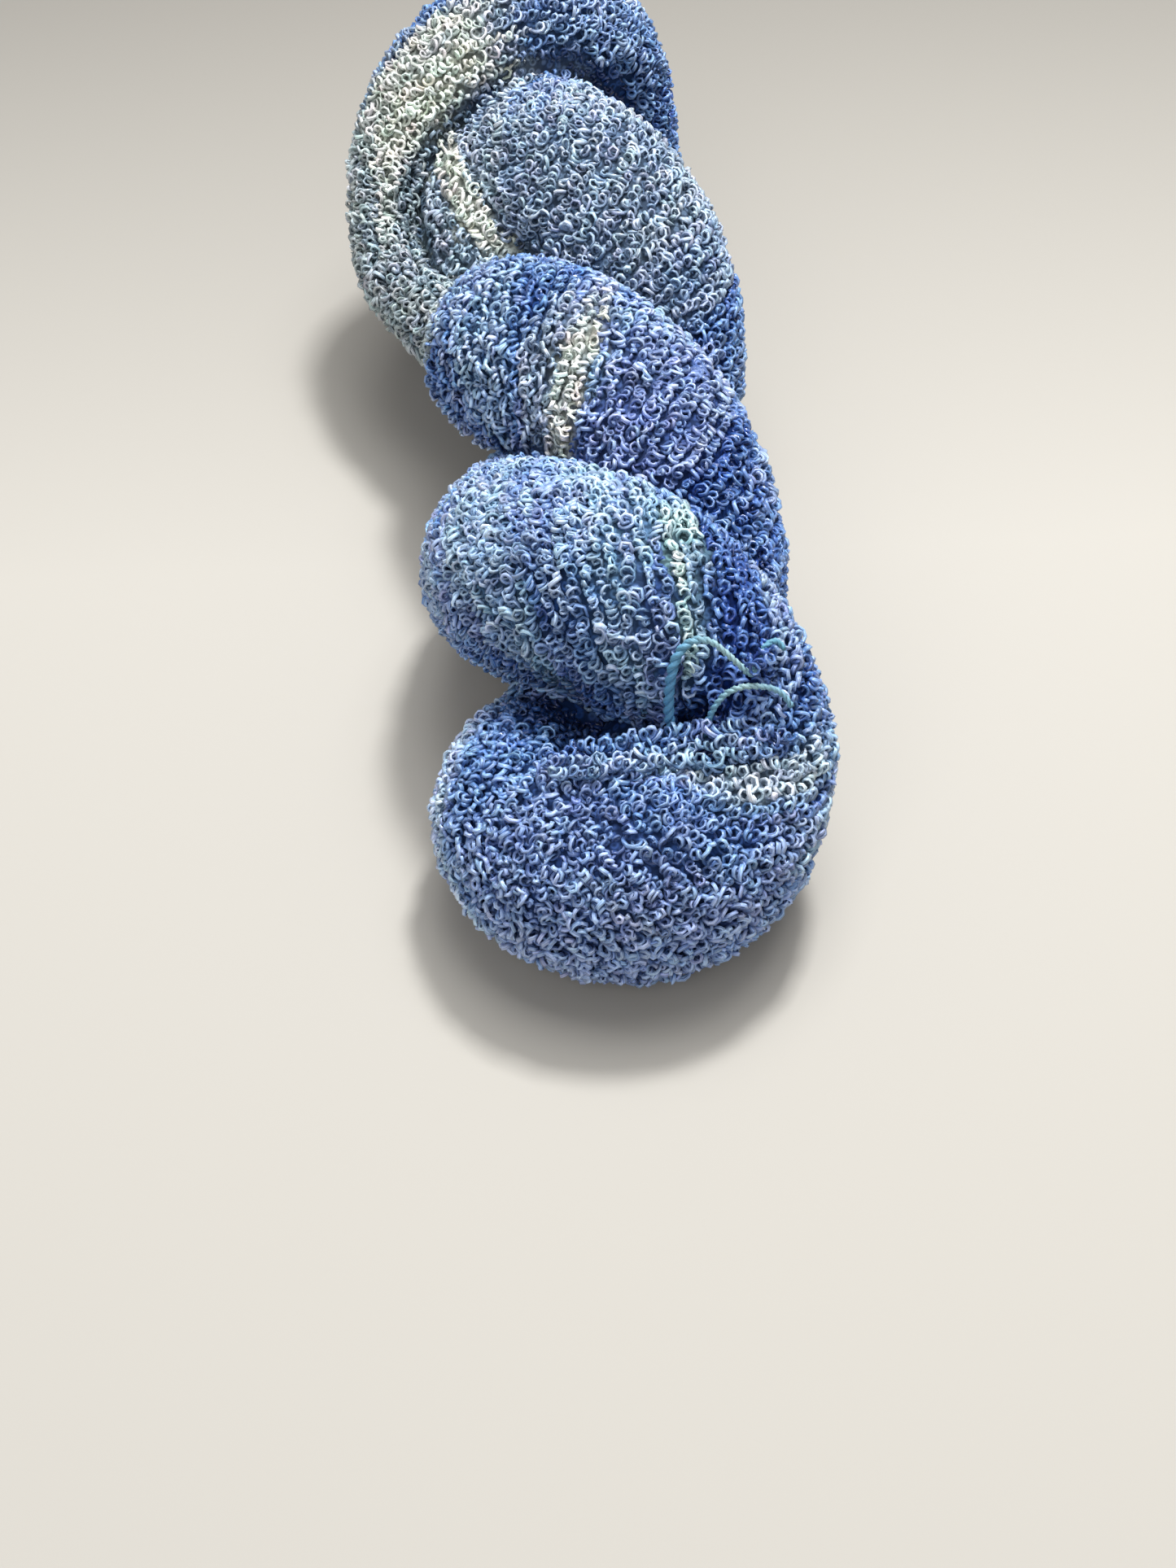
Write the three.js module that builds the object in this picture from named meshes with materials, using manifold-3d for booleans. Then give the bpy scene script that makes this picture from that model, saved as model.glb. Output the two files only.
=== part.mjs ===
// A twisted hank of boucle yarn, lying on a table. The skein is twisted and folded in half, so that
// its two plies wind round each other. The fold is the plump round head at the front. At the far end
// one ply opens into an eye, and the other ply, pulled through that eye, ends in a small loop.
// A thin tie thread shows its two free ends in the crease of the head.
// Millimetres. X is across the hank, Y runs from the head to the far end, Z is up from the table.

import * as THREE from "three";
import { mergeVertices } from "three/addons/utils/BufferGeometryUtils.js";
import Module from "manifold-3d";

// Driving dimensions
const FOLD_BEND = 13; // bend radius of the fold
const FOLD_TO_ORIGIN = 106.2; // from the middle of the fold to the middle of the hank's length
const ACROSS_TO_ORIGIN = -5.6; // from the twist's axis at the fold to the middle of the hank's width
const SEAT_CUT = 1.2; // what the table flattens of the yarn's underside
const TIE_RADIUS = 0.6; // half the thickness of the tie thread
const TABLE = { wide: 400, long: 800, deep: 100 }; // stands in for the table in that flattening

// Fineness of the solids
const PLY_SIDES = 28;
const BUNDLE_SIDES = 16;
const TIE_SIDES = 8;
const TIE_STEPS = 40;
const STEP = 4.6; // length of one step along a ply
const INNER_LIMIT = 0.8; // on the inside of a bend the yarn is squeezed to this part of its bend radius
const CAP_ROWS = 4;
const SHORTEST_EDGE = 0.4; // joining bundles leaves shorter edges than this, which are welded
const THINNEST_FACE = 0.06; // and thinner faces than this
const LEAST_LIKENESS = 0.7; // cosine of the most that welding may turn a face
const SAME_POINT = 1e-3;

// Stations along the two plies: y from the fold, the twist's axis there (x, z), the half turns that
// the twist has made, the distance from the axis to a ply's centre line, and a ply's half thickness.
const STATIONS = [
  { y: 0, x: -0.2, z: 17.6, turns: 0.02, offset: 17.0, radius: 18.8 },
  { y: 7, x: -0.2, z: 19.3, turns: 0.06, offset: 19.0, radius: 15.8 },
  { y: 15, x: 1.0, z: 22.5, turns: 0.09, offset: 20.0, radius: 13.6 },
  { y: 21, x: 0.5, z: 25.0, turns: 0.21, offset: 18.5, radius: 14.2 },
  { y: 32, x: -0.5, z: 28.0, turns: 0.47, offset: 13.6, radius: 17.2 },
  { y: 48, x: -1.0, z: 28.2, turns: 0.87, offset: 12.4, radius: 18.0 },
  { y: 84, x: -1.2, z: 28.5, turns: 1.5, offset: 12, radius: 17.5 },
  { y: 111, x: -1.5, z: 28.5, turns: 2.0, offset: 12, radius: 17.5 },
  { y: 144, x: -2.0, z: 28.0, turns: 2.5, offset: 12, radius: 18.6 },
  { y: 180, x: -1.0, z: 27.5, turns: 3.0, offset: 8, radius: 15.5 },
  { y: 200, x: -1.0, z: 27.0, turns: 3.1, offset: 8, radius: 14.5 },
];
const LONG_PLY_END = 192; // from the middle of the fold, along the ply that runs through the eye
const SHORT_PLY_END = -116; // the other way, along the ply that opens into the eye

// The eye: half of the short ply comes out on the left, goes over the top, down on the right and back
// under the long ply to where it came from.
const EYE = [
  { x: -10, y: 100, z: 34, radius: 12 },
  { x: -26.3, y: 118, z: 30, radius: 8.2 },
  { x: -35.3, y: 135, z: 32, radius: 7 },
  { x: -34.4, y: 152, z: 41, radius: 7.2 },
  { x: -23, y: 166, z: 51, radius: 11 },
  { x: -9, y: 175, z: 54, radius: 13 },
  { x: 3, y: 180, z: 49, radius: 13.2 },
  { x: 8.5, y: 181, z: 35, radius: 12.5 },
  { x: 9, y: 174, z: 20, radius: 12 },
  { x: -2, y: 163, z: 12.5, radius: 12 },
  { x: -12, y: 149, z: 12.5, radius: 12 },
  { x: -14, y: 132, z: 16, radius: 12 },
  { x: -12, y: 114, z: 20, radius: 12 },
];

// The dimple that the tie draws in where it goes down into the crease: its middle and half sizes, from
// the part's own origin.
const DIMPLE = { at: [13.6, -98.2, 36.2], half: [4.6, 2.4, 6.6], sides: 14, rows: 10 };

// The yarn deep inside the fold, under its dimple.
const FOLD_HEART = [
  { x: -10, y: 17, z: 16, radius: 10 },
  { x: -1, y: 16, z: 19, radius: 10 },
  { x: 6, y: 14, z: 23, radius: 10.5 },
  { x: 12, y: 13.5, z: 24, radius: 10 },
];

// The inner half of the long ply, which lies a little apart from the rest beside the eye.
const INNER_HALF = [
  { x: -10, y: 182, z: 40, radius: 10 },
  { x: -16, y: 165, z: 40, radius: 10.5 },
  { x: -18.5, y: 148, z: 37, radius: 11.5 },
  { x: -16.5, y: 130, z: 31, radius: 12 },
  { x: -7, y: 112, z: 24, radius: 10 },
];

// The end loop of the long ply.
const END_LOOP = [
  { x: -13, y: 178, z: 28, radius: 11.5 },
  { x: -18, y: 196, z: 22, radius: 12 },
  { x: -17, y: 211, z: 15.5, radius: 12.3 },
  { x: -7, y: 219, z: 13.5, radius: 12.3 },
  { x: 3, y: 211, z: 15, radius: 12.3 },
  { x: 5, y: 196, z: 21, radius: 12 },
  { x: 1, y: 178, z: 28, radius: 11.5 },
];

// The route of the tie thread's middle, from the tip of one free end, down into the crease of the head
// and up again to the other end. It is measured from the part's own origin.
const TIE_ROUTE = [
  [28.0, -91.6, 45.6],
  [26.8, -91.3, 46.9],
  [25.3, -92.4, 47.4],
  [23.9, -94.2, 46.2],
  [22.8, -95.8, 45.0],
  [21.0, -95.5, 46.6],
  [18.7, -94.7, 48.8],
  [16.8, -94.0, 50.1],
  [15.0, -93.7, 50.3],
  [13.2, -94.1, 49.6],
  [11.8, -95.0, 47.8],
  [11.1, -96.1, 45.2],
  [10.8, -97.0, 42.0],
  [10.9, -97.6, 38.6],
  [11.4, -98.0, 35.2],
  [12.3, -98.2, 32.7],
  [13.8, -98.2, 31.8],
  [15.3, -98.3, 32.8],
  [16.0, -98.6, 35.4],
  [16.4, -98.8, 38.3],
  [17.3, -98.5, 41.2],
  [19.0, -97.8, 43.2],
  [21.2, -97.6, 44.2],
  [23.6, -97.3, 43.9],
  [25.8, -97.1, 43.1],
  [27.5, -97.2, 41.7],
  [28.7, -97.8, 39.9],
];

function columnsOf(rows, key, names) {
  const values = rows.flatMap((row) => names.map((name) => row[name]));
  return new THREE.CubicInterpolant(rows.map((row) => row[key]), values, names.length);
}

const stationAt = columnsOf(STATIONS, "y", ["x", "z", "turns", "offset", "radius"]);

// The centre line of the folded skein. The parameter s is 0 in the middle of the fold, grows along the
// long ply and falls along the short one.
class FoldedLine extends THREE.Curve {
  getPoint(s, target = new THREE.Vector3()) {
    const y = Math.hypot(s, FOLD_BEND) - FOLD_BEND;
    const [x, z, turns, offset] = stationAt.evaluate(y);
    const across = (offset * s) / Math.hypot(s, FOLD_BEND);
    const angle = Math.PI * turns;
    return target.set(x + across * Math.cos(angle), y, z + across * Math.sin(angle));
  }
  radiusAt(s) {
    return stationAt.evaluate(Math.hypot(s, FOLD_BEND) - FOLD_BEND)[4];
  }
}

// A smooth line through the rows of a table, whose parameter is the row number.
class BundleLine extends THREE.Curve {
  constructor(rows) {
    super();
    this.path = new THREE.CatmullRomCurve3(rows.map((row) => new THREE.Vector3(row.x, row.y, row.z)));
    this.last = rows.length - 1;
    this.radii = columnsOf(rows.map((row, number) => ({ number, ...row })), "number", ["radius"]);
  }
  getPoint(row, target = new THREE.Vector3()) {
    return this.path.getPoint(row / this.last, target);
  }
  radiusAt(row) {
    return this.radii.evaluate(row)[0];
  }
}

// A stretch of another line, with its own parameter from 0 to 1.
class Stretch extends THREE.Curve {
  constructor(line, from, to) {
    super();
    this.line = line;
    this.from = from;
    this.to = to;
  }
  getPoint(t, target = new THREE.Vector3()) {
    return this.line.getPoint(this.from + (this.to - this.from) * t, target);
  }
  radiusAt(t) {
    return this.line.radiusAt(this.from + (this.to - this.from) * t);
  }
}

// How sharply a stretch bends at t: a vector towards the middle of the bend, one over the bend radius long.
function curvatureAt(stretch, t, length) {
  const before = Math.max(0, t - STEP / length);
  const after = Math.min(1, t + STEP / length);
  const turn = stretch.getTangentAt(after).sub(stretch.getTangentAt(before));
  return turn.divideScalar((after - before) * length);
}

// A capsule bent along a stretch: its height follows the line, its section stays square to it, and on
// the inside of a sharp bend it is squeezed flat.
function bentCapsule(stretch, sides) {
  const length = stretch.getLength();
  const rows = Math.max(2, Math.round(length / STEP));
  const capsule = new THREE.CapsuleGeometry(1, 1, CAP_ROWS, sides, rows);
  const frames = stretch.computeFrenetFrames(rows, false);
  const place = capsule.getAttribute("position");
  const corner = new THREE.Vector3();
  const outward = new THREE.Vector3();
  for (let i = 0; i < place.count; i++) {
    corner.fromBufferAttribute(place, i);
    const t = THREE.MathUtils.clamp(corner.y + 0.5, 0, 1);
    const pastEnd = corner.y + 0.5 - t; // how far into an end cap, in radii
    const row = Math.round(t * rows);
    const radius = stretch.radiusAt(t);
    outward.copy(frames.normals[row]).multiplyScalar(corner.x * radius);
    outward.addScaledVector(frames.binormals[row], corner.z * radius);
    const curvature = curvatureAt(stretch, t, length);
    const inward = outward.dot(curvature);
    if (inward > INNER_LIMIT) {
      outward.addScaledVector(curvature, (INNER_LIMIT - inward) / curvature.lengthSq());
    }
    outward.addScaledVector(frames.tangents[row], pastEnd * radius);
    outward.add(stretch.getPointAt(t));
    place.setXYZ(i, outward.x, outward.y, outward.z);
  }
  return capsule;
}

const wasm = await Module();
wasm.setup();

// A closed geometry as a solid, turned right side out if its faces point inwards.
function solid(geometry) {
  const bare = new THREE.BufferGeometry().setAttribute("position", geometry.getAttribute("position"));
  if (geometry.index) bare.setIndex(geometry.index);
  const merged = mergeVertices(bare, SAME_POINT);
  const triVerts = new Uint32Array(merged.index.array);
  const vertProperties = merged.attributes.position.array;
  const made = new wasm.Manifold(new wasm.Mesh({ numProp: 3, vertProperties, triVerts }));
  if (made.volume() > 0) return made;
  for (let i = 0; i < triVerts.length; i += 3) {
    [triVerts[i], triVerts[i + 1]] = [triVerts[i + 1], triVerts[i]];
  }
  return new wasm.Manifold(new wasm.Mesh({ numProp: 3, vertProperties, triVerts }));
}

function geometryOf(made) {
  const mesh = made.getMesh();
  const positions = new Float32Array(mesh.numVert * 3);
  for (let i = 0; i < mesh.numVert; i++) {
    positions.set(mesh.vertProperties.subarray(i * mesh.numProp, i * mesh.numProp + 3), i * 3);
  }
  const geometry = new THREE.BufferGeometry();
  geometry.setAttribute("position", new THREE.BufferAttribute(positions, 3));
  geometry.setIndex(new THREE.BufferAttribute(mesh.triVerts, 1));
  geometry.computeVertexNormals();
  return geometry;
}

// The surface of a joined solid, with the slivers that joining leaves welded away: the two ends of a
// short edge, or of the shortest edge of a thin face, become one point wherever the surface stays
// closed and no face turns over.
class WeldedSurface {
  constructor(geometry) {
    const place = geometry.getAttribute("position");
    this.points = [];
    for (let i = 0; i < place.count; i++) {
      this.points.push(new THREE.Vector3().fromBufferAttribute(place, i));
    }
    this.faces = [];
    this.facesAt = this.points.map(() => new Set());
    const corners = geometry.index.array;
    for (let i = 0; i < corners.length; i += 3) {
      const face = [corners[i], corners[i + 1], corners[i + 2]];
      this.faces.push(face);
      for (const corner of face) this.facesAt[corner].add(face);
    }
  }

  neighbours(corner) {
    return new Set([...this.facesAt[corner]].flat().filter((other) => other !== corner));
  }

  // Twice a face's area, as a vector square to it, with one corner moved elsewhere if asked.
  square(face, moved = [], to = null) {
    const [a, b, c] = face.map((corner) => (moved.includes(corner) ? to : this.points[corner]));
    return new THREE.Vector3().crossVectors(b.clone().sub(a), c.clone().sub(a));
  }

  lengthOf([a, b]) {
    return this.points[a].distanceTo(this.points[b]);
  }

  // A face's three sides as pairs of corners, the shortest first.
  sidesOf(face) {
    const sides = face.map((corner, i) => [corner, face[(i + 1) % face.length]]);
    return sides.sort((one, other) => this.lengthOf(one) - this.lengthOf(other));
  }

  isSliver(face) {
    const lengths = this.sidesOf(face).map((side) => this.lengthOf(side));
    return lengths[0] < SHORTEST_EDGE || this.square(face).length() / lengths.at(-1) < THINNEST_FACE;
  }

  // Whether a face would turn by more than a little, or over.
  turnsOver(before, after) {
    return before.dot(after) < LEAST_LIKENESS * before.length() * after.length();
  }

  // Halfway between two points, but where just one of them lies on the table, that one.
  meetingPoint(a, b) {
    const [aSeated, bSeated] = [a, b].map((point) => Math.abs(point.z - SEAT_CUT) < SAME_POINT);
    if (aSeated !== bSeated) return (aSeated ? a : b).clone();
    return a.clone().add(b).multiplyScalar(0.5);
  }

  // Makes two corners one, and says whether it could.
  weld([a, b]) {
    const both = [...this.facesAt[a]].filter((face) => face.includes(b));
    const kept = new Set([...this.facesAt[a], ...this.facesAt[b]].filter((face) => !both.includes(face)));
    const beside = this.neighbours(b);
    if ([...this.neighbours(a)].filter((corner) => beside.has(corner)).length !== 2) return false;
    const middle = this.meetingPoint(this.points[a], this.points[b]);
    for (const face of kept) {
      const before = this.square(face);
      const after = this.square(face, [a, b], middle);
      if (!this.isSliver(face) && this.turnsOver(before, after)) return false;
    }
    this.points[a] = middle;
    for (const face of both) for (const corner of face) this.facesAt[corner].delete(face);
    for (const face of this.facesAt[b]) {
      face[face.indexOf(b)] = a;
      this.facesAt[a].add(face);
    }
    this.facesAt[b].clear();
    this.faces = this.faces.filter((face) => !both.includes(face));
    return true;
  }

  weldSlivers() {
    let found = true;
    while (found) {
      found = false;
      for (const face of this.faces.filter((each) => this.isSliver(each))) {
        if (this.faces.includes(face) && this.isSliver(face)) {
          found = this.sidesOf(face).slice(0, 2).some((side) => this.weld(side)) || found;
        }
      }
    }
    return this;
  }

  // A speck that welding has shrunk to two faces back to back is left out.
  geometry() {
    const kept = this.faces.filter((face) => face.some((corner) => this.facesAt[corner].size > 2));
    const made = new THREE.BufferGeometry().setFromPoints(this.points);
    made.setIndex(kept.flat());
    return mergeVertices(made, SAME_POINT);
  }
}

// Two bent capsules that start from one place on a line and run to its two ends.
function twoWays(line, start, ends, sides) {
  return ends.map((end) => solid(bentCapsule(new Stretch(line, start, end), sides)));
}

// A bundle of yarn along the rows of a table, which swells out both ways from its middle row.
function bundleOfRows(rows) {
  const last = rows.length - 1;
  return twoWays(new BundleLine(rows), last / 2, [0, last], BUNDLE_SIDES);
}

function makeHank() {
  const pieces = [
    ...twoWays(new FoldedLine(), 0, [SHORT_PLY_END, LONG_PLY_END], PLY_SIDES),
    ...bundleOfRows(FOLD_HEART),
    ...bundleOfRows(EYE),
    ...bundleOfRows(INNER_HALF),
    ...bundleOfRows(END_LOOP),
  ];
  const slab = new THREE.BoxGeometry(TABLE.wide, TABLE.long, TABLE.deep);
  const table = solid(slab.translate(0, 0, SEAT_CUT - TABLE.deep / 2));
  const dimple = new THREE.SphereGeometry(1, DIMPLE.sides, DIMPLE.rows).scale(...DIMPLE.half);
  dimple.translate(...DIMPLE.at).translate(ACROSS_TO_ORIGIN, FOLD_TO_ORIGIN, SEAT_CUT);
  const joined = pieces.reduce((sum, piece) => sum.add(piece)).subtract(table).subtract(solid(dimple));
  const welded = new WeldedSurface(geometryOf(joined)).weldSlivers().geometry();
  return welded.translate(-ACROSS_TO_ORIGIN, -FOLD_TO_ORIGIN, -SEAT_CUT);
}

function makeTie() {
  const route = new THREE.CatmullRomCurve3(TIE_ROUTE.map((point) => new THREE.Vector3(...point)));
  const corners = [];
  for (let i = 0; i < TIE_SIDES; i++) {
    const angle = (2 * Math.PI * i) / TIE_SIDES;
    corners.push(new THREE.Vector2(TIE_RADIUS * Math.cos(angle), TIE_RADIUS * Math.sin(angle)));
  }
  const section = new THREE.Shape(corners);
  return new THREE.ExtrudeGeometry(section, { steps: TIE_STEPS, extrudePath: route });
}

const yarn = new THREE.MeshStandardMaterial({ color: 0x6f8fc0, roughness: 0.8, metalness: 0 });
const thread = new THREE.MeshStandardMaterial({ color: 0x5f9fb0, roughness: 0.7, metalness: 0 });

function named(name, geometry, material) {
  const mesh = new THREE.Mesh(geometry, material);
  mesh.name = name;
  return mesh;
}

const group = new THREE.Group();
group.add(named("hank", makeHank(), yarn));
group.add(named("tie", makeTie(), thread));

export default group;
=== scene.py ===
# %% [markdown]
# # A twisted hank of boucle yarn
# Boucle is a fancy yarn: a thin core thread carries a shiny effect thread that is fed faster than the
# core, so it throws up small curls all the way along. This hank is a skein of that yarn, twisted,
# folded in half and left to wind round itself. We load its measured solids first. They give every
# position in this lesson, and the finished pieces may not leave their place or their size.

# %% Load the frame
import math

import bmesh
import bpy
import numpy as np
from mathutils import Matrix, Vector
from mathutils.bvhtree import BVHTree
from mathutils.kdtree import KDTree


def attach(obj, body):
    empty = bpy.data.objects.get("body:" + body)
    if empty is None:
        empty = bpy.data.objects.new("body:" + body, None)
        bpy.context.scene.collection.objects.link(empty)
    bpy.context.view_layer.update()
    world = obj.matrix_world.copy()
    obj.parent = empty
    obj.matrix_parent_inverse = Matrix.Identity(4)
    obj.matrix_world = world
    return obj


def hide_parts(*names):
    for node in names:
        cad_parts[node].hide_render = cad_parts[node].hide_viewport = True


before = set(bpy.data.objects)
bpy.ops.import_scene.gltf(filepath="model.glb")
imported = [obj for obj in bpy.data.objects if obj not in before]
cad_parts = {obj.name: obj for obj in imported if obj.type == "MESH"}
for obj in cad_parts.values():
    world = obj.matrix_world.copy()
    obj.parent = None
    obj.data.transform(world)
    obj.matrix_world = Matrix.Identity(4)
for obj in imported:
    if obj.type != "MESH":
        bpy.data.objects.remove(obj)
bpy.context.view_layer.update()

MM = 0.001

# %% [markdown]
# ## The camera
# The photo looks down on the head of the hank at 48 degrees, from close by, so the far end looks much
# smaller than the head. We aim at a point on the head that we know the place of in the picture, and
# step back from it along the line of sight.

# %% Camera
PHOTO_WIDE, PHOTO_HIGH = 1445, 1927
FOCAL_PIXELS = 2800
SENSOR = 36
LOOK_DOWN = math.radians(48)
LOOK_ASIDE = math.radians(3.5)
AIM = Vector((7.6, -92.2, 32.0)) * MM
AIM_PIXEL = (790, 888)
AIM_DEPTH = 340 * MM
turn = Matrix.Rotation(-LOOK_ASIDE, 3, "Z") @ Matrix.Rotation(math.pi / 2 - LOOK_DOWN, 3, "X")
in_view = Vector(((AIM_PIXEL[0] - PHOTO_WIDE / 2) / FOCAL_PIXELS,
                  (PHOTO_HIGH / 2 - AIM_PIXEL[1]) / FOCAL_PIXELS, -1.0))
camera = bpy.data.objects.new("camera", bpy.data.cameras.new("camera"))
camera.data.sensor_width = SENSOR
camera.data.lens = SENSOR * FOCAL_PIXELS / PHOTO_HIGH
camera.location = AIM - turn @ in_view * AIM_DEPTH
camera.rotation_euler = turn.to_euler()
bpy.context.scene.collection.objects.link(camera)
bpy.context.scene.camera = camera
print("camera at", [round(x, 3) for x in camera.location], "lens", round(camera.data.lens, 1), "mm")

# %% [markdown]
# ## Helpers for meshes made from arrays
# Thousands of curls are one mesh each, not thousands of objects. numpy works out all corners at once,
# and this helper hands them to Blender in one go.

# %% A mesh from arrays
def mesh_object(name, corners, faces):
    """corners is n by 3 in metres, faces is a list of arrays, each m by 3 or m by 4."""
    mesh = bpy.data.meshes.new(name)
    sizes = np.concatenate([np.full(len(f), f.shape[1]) for f in faces])
    starts = np.concatenate([[0], np.cumsum(sizes)[:-1]])
    mesh.vertices.add(len(corners))
    mesh.vertices.foreach_set("co", np.asarray(corners, dtype=np.float32).ravel())
    mesh.loops.add(int(sizes.sum()))
    mesh.loops.foreach_set("vertex_index", np.concatenate([f.ravel() for f in faces]).astype(np.int32))
    mesh.polygons.add(len(sizes))
    mesh.polygons.foreach_set("loop_start", starts.astype(np.int32))
    mesh.polygons.foreach_set("use_smooth", np.ones(len(sizes), dtype=bool))
    mesh.update(calc_edges=True)
    mesh.validate()
    made = bpy.data.objects.new(name, mesh)
    bpy.context.scene.collection.objects.link(made)
    return made


def triangles_of(obj):
    return sum(len(face.vertices) - 2 for face in obj.data.polygons)


print("a mesh is filled from arrays of corners and faces")

# %% Values on the points of a mesh
ATTRIBUTE_FIELDS = {"FLOAT_VECTOR": "vector", "FLOAT_COLOR": "color"}


def add_attribute(obj, name, kind, values):
    """One value for each corner point of the mesh."""
    layer = obj.data.attributes.new(name, kind, "POINT")
    layer.data.foreach_set(ATTRIBUTE_FIELDS[kind], np.asarray(values, dtype=np.float32).ravel())


print("points can carry", list(ATTRIBUTE_FIELDS))

# %% [markdown]
# A thread is a thin tube. Three sides are enough for something less than a millimetre thick, because its
# shading is smooth, and they keep thousands of curls light. The helper sweeps a ring of points along a
# line. A curve with a bevel would do too, but here every point of the tube is known and carries a colour.

# %% Distances and directions
SMALLEST_LENGTH = 1e-12


def unit(v):
    """Vectors of length 1 in the same directions."""
    return v / np.maximum(np.linalg.norm(v, axis=-1, keepdims=True), SMALLEST_LENGTH)


def walked_along(points):
    """How far one has walked along a line at each of its points."""
    return np.concatenate([[0], np.cumsum(np.linalg.norm(np.diff(points, axis=0), axis=1))])


straight = np.column_stack([np.arange(4.0), np.zeros(4), np.zeros(4)])
print("walked along a line of 4 points", walked_along(straight))

# %% Tubes along a line
def tube(points, across, radius, sides):
    """One closed tube along points. across is a direction beside the line at each point."""
    along = unit(np.gradient(points, axis=0))
    first = unit(np.cross(across, along))
    second = np.cross(along, first)
    angle = 2 * np.pi * np.arange(sides) / sides
    ring = (np.cos(angle)[None, :, None] * first[:, None] + np.sin(angle)[None, :, None] * second[:, None])
    corners = points[:, None] + ring * np.broadcast_to(radius, len(points))[:, None, None]
    n = len(points)
    step = np.arange(n - 1)[:, None] * sides
    side = np.arange(sides)[None, :]
    after = (side + 1) % sides
    quads = np.stack([step + side, step + after, step + sides + after, step + sides + side], axis=-1)
    caps = np.array([np.arange(sides)[::-1], (n - 1) * sides + np.arange(sides)])
    return corners.reshape(-1, 3), quads.reshape(-1, 4), caps


upward = np.array([0, 0, 1.0])
print("a tube along 4 points with 3 sides has", len(tube(straight, upward, 0.1, 3)[1]), "side faces")

# %% [markdown]
# Many tubes go into one mesh. Two attributes travel with its points: "dye", the colour with any painted
# shade in it, and "fibre", a place round and along the thread that the material reads for its streaks.

# %% Many tubes in one mesh
def fibre_places(along, sides, shift):
    """A place round and along a tube for each of its points."""
    side = np.tile(2 * np.pi * np.arange(sides) / sides, len(along))
    return np.stack([np.cos(side), np.sin(side), np.repeat(along, sides) + shift], axis=1)


def point_colours(colours, sides):
    """Each ring's colour for all of its points."""
    return np.repeat(np.column_stack([colours, np.ones(len(colours))]), sides, axis=0)


def thread_mesh(name, tubes, fibre, dyes):
    """One mesh of many tubes, with lists of their fibre places and colours."""
    starts = np.cumsum([0] + [len(corners) for corners, _, _ in tubes])
    faces = [np.concatenate([part[k] + start for part, start in zip(tubes, starts)]) for k in (1, 2)]
    made = mesh_object(name, np.concatenate([corners for corners, _, _ in tubes]), faces)
    add_attribute(made, "fibre", "FLOAT_VECTOR", np.concatenate(fibre))
    add_attribute(made, "dye", "FLOAT_COLOR", np.concatenate(dyes))
    print(name, "of", len(tubes), "tubes,", triangles_of(made), "triangles")
    return made


print("a ring has", len(point_colours(straight[:1], 3)), "points with one colour")

# %% [markdown]
# ## How the skein runs
# Two tables of the main twists, in millimetres. Stations follow the twist from the fold at y = 0: where
# its axis is, how many half turns it has made, and how far out and how thick each ply is. The eye, the
# inner half and the end loop are bundles with rows of their own. Every strand follows one of these lines.

# %% Tables of the skein
# FOLD_BEND is the length over which the fold rounds, and SHIFT moves the tables' own axes to the frame's
FOLD_BEND = 13
SHIFT = np.array([5.6, -106.2, -1.2])
STATIONS = np.array([
    # y, axis x, axis z, half turns, offset, radius
    (0, -0.2, 17.6, 0.02, 17.0, 18.8),
    (7, -0.2, 19.3, 0.06, 19.0, 15.8),
    (15, 1.0, 22.5, 0.09, 20.0, 13.6),
    (21, 0.5, 25.0, 0.21, 18.5, 14.2),
    (32, -0.5, 28.0, 0.47, 13.6, 17.2),
    (48, -1.0, 28.2, 0.87, 12.4, 18.0),
    (84, -1.2, 28.5, 1.5, 12.0, 17.5),
    (111, -1.5, 28.5, 2.0, 12.0, 17.5),
    (144, -2.0, 28.0, 2.5, 12.0, 18.6),
    (180, -1.0, 27.5, 3.0, 8.0, 15.5),
    (200, -1.0, 27.0, 3.1, 8.0, 14.5),
])
BUNDLES = {
    # x, y, z, radius
    "eye": [(-10, 100, 34, 12), (-26.3, 118, 30, 8.2), (-35.3, 135, 32, 7), (-34.4, 152, 41, 7.2),
            (-23, 166, 51, 11), (-9, 175, 54, 13), (3, 180, 49, 13.2), (8.5, 181, 35, 12.5),
            (9, 174, 20, 12), (-2, 163, 12.5, 12), (-12, 149, 12.5, 12), (-14, 132, 16, 12),
            (-12, 114, 20, 12)],
    "inner_half": [(-10, 182, 40, 10), (-16, 165, 40, 10.5), (-18.5, 148, 37, 11.5), (-16.5, 130, 31, 12),
                   (-7, 112, 24, 10)],
    "end_loop": [(-13, 178, 28, 11.5), (-18, 196, 22, 12), (-17, 211, 15.5, 12.3), (-7, 219, 13.5, 12.3),
                 (3, 211, 15, 12.3), (5, 196, 21, 12), (1, 178, 28, 11.5)],
}
print("tables of", len(STATIONS), "stations and", len(BUNDLES), "bundles")

# %% Lines of the skein
LINE_STEP = 0.5
PLY_ENDS = (-116, 192)


def smooth_table(rows, at):
    """Smooth values between the rows of a table whose first column is the key."""
    key, values = rows[:, 0], rows[:, 1:]
    slope = np.gradient(values, key, axis=0)
    i = np.clip(np.searchsorted(key, at) - 1, 0, len(key) - 2)
    span = (key[i + 1] - key[i])[:, None]
    t = np.clip((at - key[i]) / span[:, 0], 0, 1)[:, None]
    return ((1 + 2 * t) * (1 - t) ** 2 * values[i] + t * (1 - t) ** 2 * span * slope[i]
            + t * t * (3 - 2 * t) * values[i + 1] + t * t * (t - 1) * span * slope[i + 1])


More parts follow.
